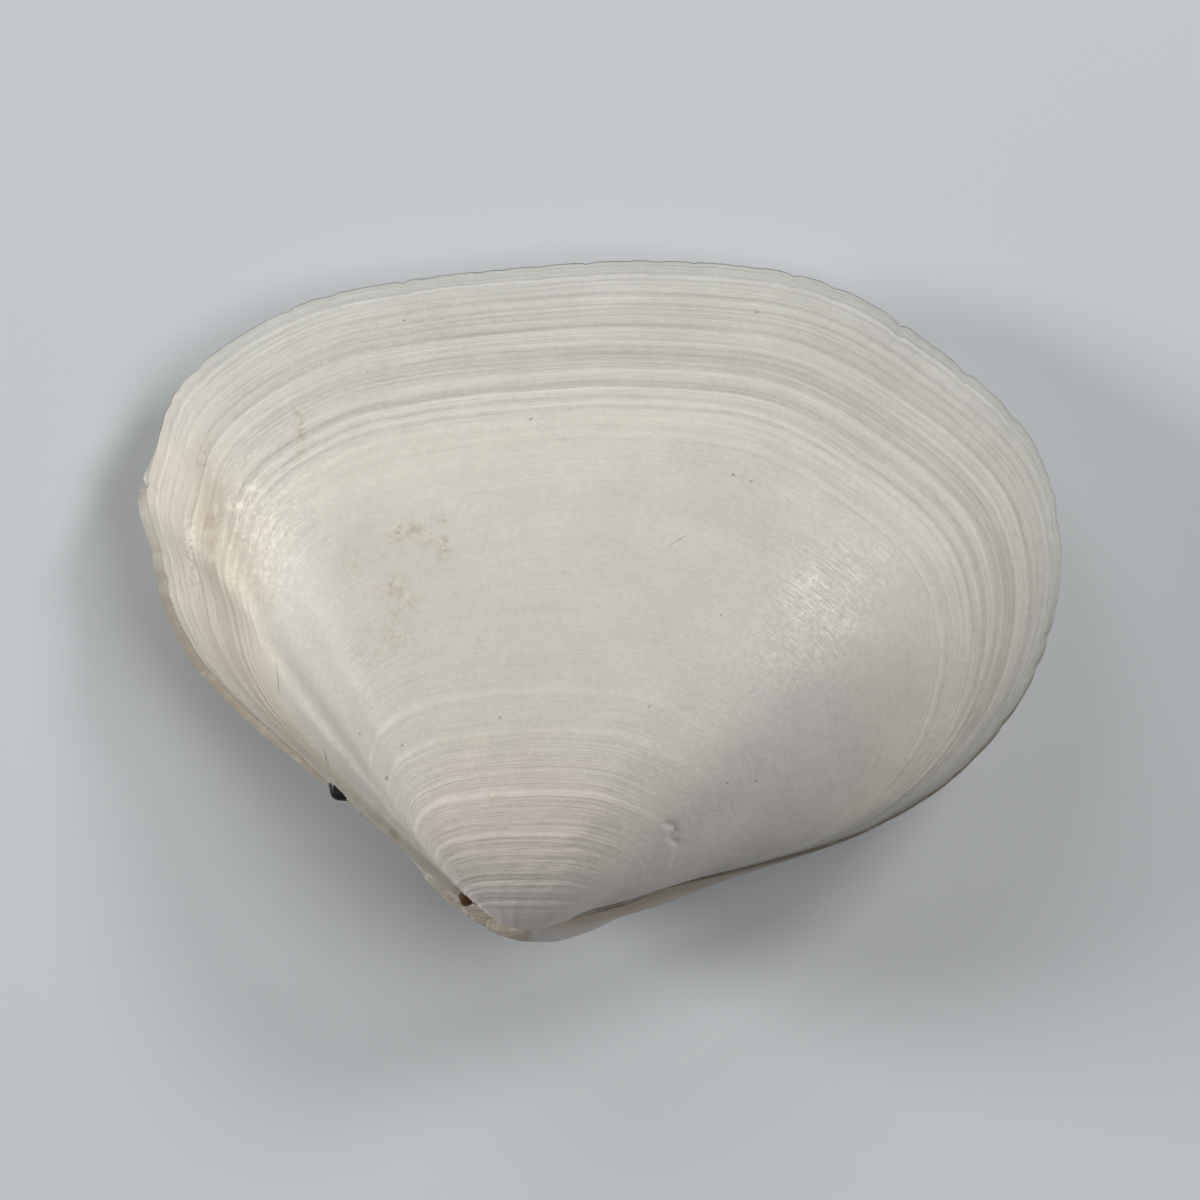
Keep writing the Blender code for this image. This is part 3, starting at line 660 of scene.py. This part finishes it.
def shell_material(name, marked):
    """Chalky white shell: growth bands, fine striae, flecks, stains and a soft gloss, with painted light and
    shade on the growth lines, painted glints and highlights on the polished patches, and painted shade towards
    the front end and where the valves meet.
    """
    s = Shader(name)
    marks, tone = s.split(s.attribute("marks")), s.split(s.attribute("tone"))
    grow = s.attribute("grow")
    growth = s.split(grow)
    seen = s.attribute("seen")
    place = s.node("ShaderNodeTexCoord").outputs["Object"]
    cloud = s.noise(place, 160.0, 4.0)
    mottle = s.noise(place, 520.0, 4.0, 0.65)
    grain = s.noise(place, 2600.0, 3.0)
    striae = s.noise(s.stretched(grow, (9.0, 210.0, 1.0)), 1.0, 4.0, 0.65)
    hairs = s.noise(s.stretched(grow, (26.0, 620.0, 1.0), (3.0, 7.0, 1.0)), 1.0, 2.0)
    flecks = s.noise(s.stretched(grow, (170.0, 150.0, 1.0), (1.0, 5.0, 2.0)), 1.0, 5.0, 0.7)
    glints = s.noise(s.stretched(grow, (70.0, 380.0, 1.0), (2.0, 9.0, 4.0)), 1.0, 3.0, 0.7)
    rings = s.noise(s.stretched(grow, (2.5, 230.0, 1.0), (5.0, 3.0, 7.0)), 1.0, 1.0)

    age = s.math("ADD", growth[1], s.math("MULTIPLY", s.math("SUBTRACT", cloud, 0.5), 0.05))
    colour = s.ramp(age, GROWTH_COLOURS)
    colour = s.mix(s.math("MULTIPLY", tone[2], 0.55), colour, (0.695, 0.643, 0.626))
    hind = s.between(growth[0], 0.655, 0.715)
    aged = s.math("MULTIPLY", hind, s.between(growth[1], 0.60, 0.80))
    colour = s.mix(aged, colour, (1.05, 0.99, 0.925), "MULTIPLY")
    if not marked:
        colour = s.mix(s.between(growth[0], 0.20, 0.08), colour, (1.06, 0.975, 0.87), "MULTIPLY")
    outer = s.between(growth[1], 0.66, 0.82)
    young = s.between(growth[1], 0.46, 0.36)
    banded = s.math("SUBTRACT", outer, s.math("MULTIPLY", young, 0.3))
    contrast = s.math("ADD", 0.055, s.math("MULTIPLY", banded, 0.12))
    # The growth lines' painted light and shade, stronger in the outer bands and fainter near the beak.
    drawn = s.math("SUBTRACT", s.math("ADD", 0.10, s.math("MULTIPLY", outer, 0.14)),
                   s.math("MULTIPLY", young, 0.05))
    lines = s.math("MULTIPLY", tone[0], drawn)
    streaks = s.math("MULTIPLY", s.math("SUBTRACT", striae, 0.5), contrast)
    ringed = s.math("MULTIPLY", s.between(growth[1], 0.38, 0.30), s.between(growth[0], 0.22, 0.36))
    ringed = s.math("MULTIPLY", ringed, s.math("SUBTRACT", rings, 0.5))
    # Bright streaks along the growth lines in the polished patches: painted glints. They also lower the
    # roughness there.
    glinting = s.math("MULTIPLY", tone[1], s.between(glints, 0.52, 0.66))
    glinting = s.math("MULTIPLY", glinting, s.math("SUBTRACT", 1.0, s.math("MULTIPLY", hind, 0.6)))
    painted_sparkle_dots = s.math("MULTIPLY", s.math("MULTIPLY", tone[1], hind), s.between(grain, 0.53, 0.64))
    # Darker towards the front end, from 54 degrees at the beak down to 0.84 at 18 degrees: painted shade.
    level = s.math("ADD", s.between(growth[0], 0.10, 0.30, 0.84, 1.0), lines)
    level = s.math("ADD", level, s.math("MULTIPLY", hind, 0.15))
    level = s.math("SUBTRACT", level, s.math("MULTIPLY", aged, 0.06))
    level = s.math("ADD", level, s.math("MULTIPLY", streaks, 2.0))
    level = s.math("ADD", level, s.math("MULTIPLY", ringed, 0.19))
    level = s.math("ADD", level, s.math("MULTIPLY", s.math("SUBTRACT", cloud, 0.5), 0.22))
    # Colour grain shows more in the polished patches: painted sparkle.
    sparkle = s.math("ADD", 0.20, s.math("MULTIPLY", tone[1], 0.30))
    level = s.math("ADD", level, s.math("MULTIPLY", s.math("SUBTRACT", grain, 0.5), sparkle))
    # The painted glints, and the painted sparkle dots at the hind end, lighten the colour.
    level = s.math("ADD", level, s.math("MULTIPLY", glinting, 0.34))
    level = s.math("ADD", level, s.math("MULTIPLY", painted_sparkle_dots, 0.20))
    # The brightest spots, lightened in grains: painted highlights.
    painted_highlight_level = s.math("MULTIPLY", s.split(s.attribute("spots"))[0], s.between(grain, 0.38, 0.54))
    level = s.math("ADD", level, s.math("MULTIPLY", painted_highlight_level, 0.50))
    level = s.math("ADD", level, s.math("MULTIPLY", s.math("SUBTRACT", mottle, 0.5), 0.13))
    levelled = s.node("ShaderNodeCombineColor", {0: level, 1: level, 2: level}).outputs[0]
    colour = s.mix(1.0, colour, levelled, "MULTIPLY")

    specked = s.math("MULTIPLY", s.between(flecks, 0.52, 0.68), s.math("ADD", 0.10, marks[2]))
    specked = s.math("MULTIPLY", specked, outer, clamp=True)
    colour = s.mix(s.math("MULTIPLY", specked, 0.75), colour, (0.76, 0.735, 0.655))
    broken = s.noise(place, 900.0, 5.0, 0.7)
    spotted = s.noise(place, 1700.0, 5.0, 0.75)
    thin, thick, share, brown = DIRT_AND_SHADE_ON_THE_LEFT if marked else DIRT_AND_SHADE_ON_THE_RIGHT
    # Brown where marks hold dirt and painted shade: sulcus dirt on the left valve, painted shade under the
    # left valve on the right one, and painted shade along the front rim on both.
    painted_shade_and_dirt = s.math("MULTIPLY", marks[1], s.between(broken, thin, thick))
    colour = s.mix(s.math("MULTIPLY", painted_shade_and_dirt, share), colour, brown)
    stained = s.math("MULTIPLY", marks[0], s.between(spotted, 0.44, 0.58))
    colour = s.mix(s.math("MULTIPLY", stained, 0.85), colour, (0.37, 0.265, 0.14))
    if marked:
        worst = None
        wobble = s.stretched(s.node("ShaderNodeTexNoise", {"Vector": seen, "Scale": 5.0}).outputs["Color"],
                             (0.14, 0.14, 0.0), (-0.07, -0.07, 0.0))
        near = s.node("ShaderNodeVectorMath", {0: seen, 1: wobble}, operation="ADD").outputs[0]
        for x, y, half_long, half_wide, degrees in SPECKS:
            local = s.node("ShaderNodeMapping", {
                "Vector": near, "Location": (x, y, 0.0),
                "Rotation": (0.0, 0.0, math.radians(degrees)),
                "Scale": (half_long, half_wide, 1.0),
            }, vector_type="TEXTURE").outputs[0]
            off = s.node("ShaderNodeVectorMath", {0: local}, operation="LENGTH").outputs["Value"]
            speck = s.between(off, 1.25, 0.5)
            worst = speck if worst is None else s.math("MAXIMUM", worst, speck)
        colour = s.mix(s.math("MULTIPLY", worst, 0.60), colour, (0.20, 0.17, 0.15))
    s.join(colour, s.surface.inputs["Base Color"])

    rough = s.math("ADD", 0.46, s.math("MULTIPLY", s.math("SUBTRACT", striae, 0.5), 0.20))
    rough = s.math("SUBTRACT", rough, s.math("MULTIPLY", tone[1], 0.17))
    rough = s.math("SUBTRACT", rough, s.math("MULTIPLY", glinting, 0.10))
    rough = s.math("ADD", rough, s.math("MULTIPLY", specked, 0.25))
    rough = s.math("ADD", rough, s.math("MULTIPLY", s.math("MAXIMUM", painted_shade_and_dirt, stained), 0.2), clamp=True)
    s.join(rough, s.surface.inputs["Roughness"])
    s.surface.inputs["Specular IOR Level"].default_value = 0.5
    s.surface.inputs["Subsurface Weight"].default_value = 0.08
    s.surface.inputs["Subsurface Radius"].default_value = (1.0, 0.8, 0.6)
    s.surface.inputs["Subsurface Scale"].default_value = 0.0012

    amount = s.math("ADD", 0.50, s.math("MULTIPLY", banded, 0.60))
    amount = s.math("ADD", amount, s.math("MULTIPLY", tone[1], 0.35))
    fine = s.math("MULTIPLY", s.math("ADD", striae, s.math("MULTIPLY", hairs, 0.45)), amount)
    grained = s.math("ADD", 0.30, s.math("MULTIPLY", tone[1], 0.35))
    bumps = s.math("ADD", fine, s.math("MULTIPLY", grain, grained))
    bumps = s.math("ADD", bumps, s.math("MULTIPLY", ringed, 0.5))
    bumps = s.math("ADD", bumps, s.math("MULTIPLY", s.math("MULTIPLY", flecks, marks[2]), 0.8))
    bump = s.node("ShaderNodeBump", {"Height": bumps, "Strength": 1.0, "Distance": 0.00010})
    s.join(bump.outputs[0], s.surface.inputs["Normal"])
    return s.material


def ligament_material(name):
    """Dark horn, golden brown beside the beak, with a dull skin and a wet gloss on its lumps."""
    s = Shader(name)
    along = s.split(s.attribute("along"))
    place = s.node("ShaderNodeTexCoord").outputs["Object"]
    mottle = s.noise(place, 1500.0, 4.0)
    fibres = s.noise(s.stretched(place, (500.0, 2600.0, 2600.0)), 1.0, 4.0)
    share = s.math("ADD", along[0], s.math("MULTIPLY", s.math("SUBTRACT", mottle, 0.5), 0.16))
    colour = s.ramp(share, (
        (0.00, (0.20, 0.095, 0.030)), (0.08, (0.11, 0.050, 0.018)), (0.20, (0.050, 0.026, 0.013)),
        (0.34, (0.025, 0.016, 0.011)), (0.62, (0.012, 0.010, 0.009)), (1.00, (0.006, 0.006, 0.007)),
    ))
    streaked = s.math("MULTIPLY", s.between(fibres, 0.45, 0.7), s.between(along[0], 0.7, 0.1, 0.05, 0.4))
    colour = s.mix(streaked, colour, (0.09, 0.055, 0.03))
    s.join(colour, s.surface.inputs["Base Color"])
    s.join(s.between(mottle, 0.3, 0.7, 0.32, 0.62), s.surface.inputs["Roughness"])
    s.surface.inputs["Specular IOR Level"].default_value = 0.3
    bump = s.node("ShaderNodeBump", {"Height": fibres, "Strength": 0.6, "Distance": 0.00008})
    s.join(bump.outputs[0], s.surface.inputs["Normal"])
    return s.material


def add_piece(name, mesh, material):
    piece = bpy.data.objects.new(name, mesh)
    bpy.context.scene.collection.objects.link(piece)
    mesh.materials.append(material)
    return piece


def direction(azimuth, elevation):
    """A unit vector, with azimuth from +X towards +Y, in degrees."""
    a, e = math.radians(azimuth), math.radians(elevation)
    return Vector((math.cos(a) * math.cos(e), math.sin(a) * math.cos(e), math.sin(e)))


def add_light(name, azimuth, elevation, distance, size, power, colour):
    light = bpy.data.lights.new(name, "AREA")
    light.shape, light.size, light.energy, light.color = "DISK", size, power, colour
    lamp = bpy.data.objects.new(name, light)
    bpy.context.scene.collection.objects.link(lamp)
    towards = direction(azimuth, elevation)
    lamp.location = towards * distance + Vector((0.0, 0.0, 0.01))
    lamp.rotation_mode = "QUATERNION"
    lamp.rotation_quaternion = towards.to_track_quat("Z", "Y")
    return lamp


# The three pieces.
left_shell = add_piece("left_shell", shell_mesh("left_shell", 1, 11), shell_material("left_shell", True))
right_shell = add_piece("right_shell", shell_mesh("right_shell", -1, 23), shell_material("right_shell", False))
ligament_band = add_piece("ligament_band", ligament_mesh("ligament_band"), ligament_material("ligament_band"))
for piece, node in ((left_shell, "left_valve"), (right_shell, "right_valve"), (ligament_band, "ligament")):
    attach(piece, "root")
    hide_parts(node)

# The floor.
floor_mesh = bpy.data.meshes.new("floor")
floor_mesh.from_pydata([(-4, -4, 0), (4, -4, 0), (4, 4, 0), (-4, 4, 0)], [], [(0, 1, 2, 3)])
floor_shader = Shader("floor")
floor_shader.surface.inputs["Base Color"].default_value = (0.62, 0.65, 0.68, 1.0)
floor_shader.surface.inputs["Roughness"].default_value = 0.9
floor = add_piece("floor", floor_mesh, floor_shader.material)

# Light.
add_light("hind", 169.0, 26.0, 0.55, 0.20, 1.62, (1.0, 0.985, 0.96))
add_light("open_edge", 108.0, 45.0, 0.55, 0.26, 0.42, (1.0, 0.985, 0.97))
add_light("front", 42.0, 46.0, 0.55, 0.15, 0.88, (1.0, 0.98, 0.95))
add_light("above", 0.0, 66.0, 0.55, 0.26, 0.90, (1.0, 0.985, 0.97))
world = bpy.data.worlds.new("studio")
world.use_nodes = True
world.node_tree.nodes["Background"].inputs["Color"].default_value = (0.95, 0.97, 1.0, 1.0)
world.node_tree.nodes["Background"].inputs["Strength"].default_value = 0.06
bpy.context.scene.world = world
bpy.context.scene.view_settings.view_transform = "Standard"

# Camera: almost straight down on the lying shell, from far away.
lean = math.radians(CAMERA_LEAN)
right_way = Vector((math.cos(lean), 0.0, -math.sin(lean)))
up_way = Vector((0.0, 1.0, 0.0))
back_way = Vector((math.sin(lean), 0.0, math.cos(lean)))
beak = Vector(-REST_POINT)
target = beak + right_way * PICTURE_MIDDLE[0] + up_way * PICTURE_MIDDLE[1] + back_way * -5.0
camera_data = bpy.data.cameras.new("camera")
camera_data.sensor_width = SENSOR
camera_data.lens = SENSOR * CAMERA_DISTANCE / PICTURE_WIDTH
camera_data.clip_start, camera_data.clip_end = 0.05, 20.0
camera = bpy.data.objects.new("camera", camera_data)
bpy.context.scene.collection.objects.link(camera)
turned = Matrix((right_way, up_way, back_way)).transposed().to_4x4()
camera.matrix_world = Matrix.Translation((target + back_way * CAMERA_DISTANCE) * MM) @ turned
bpy.context.scene.camera = camera
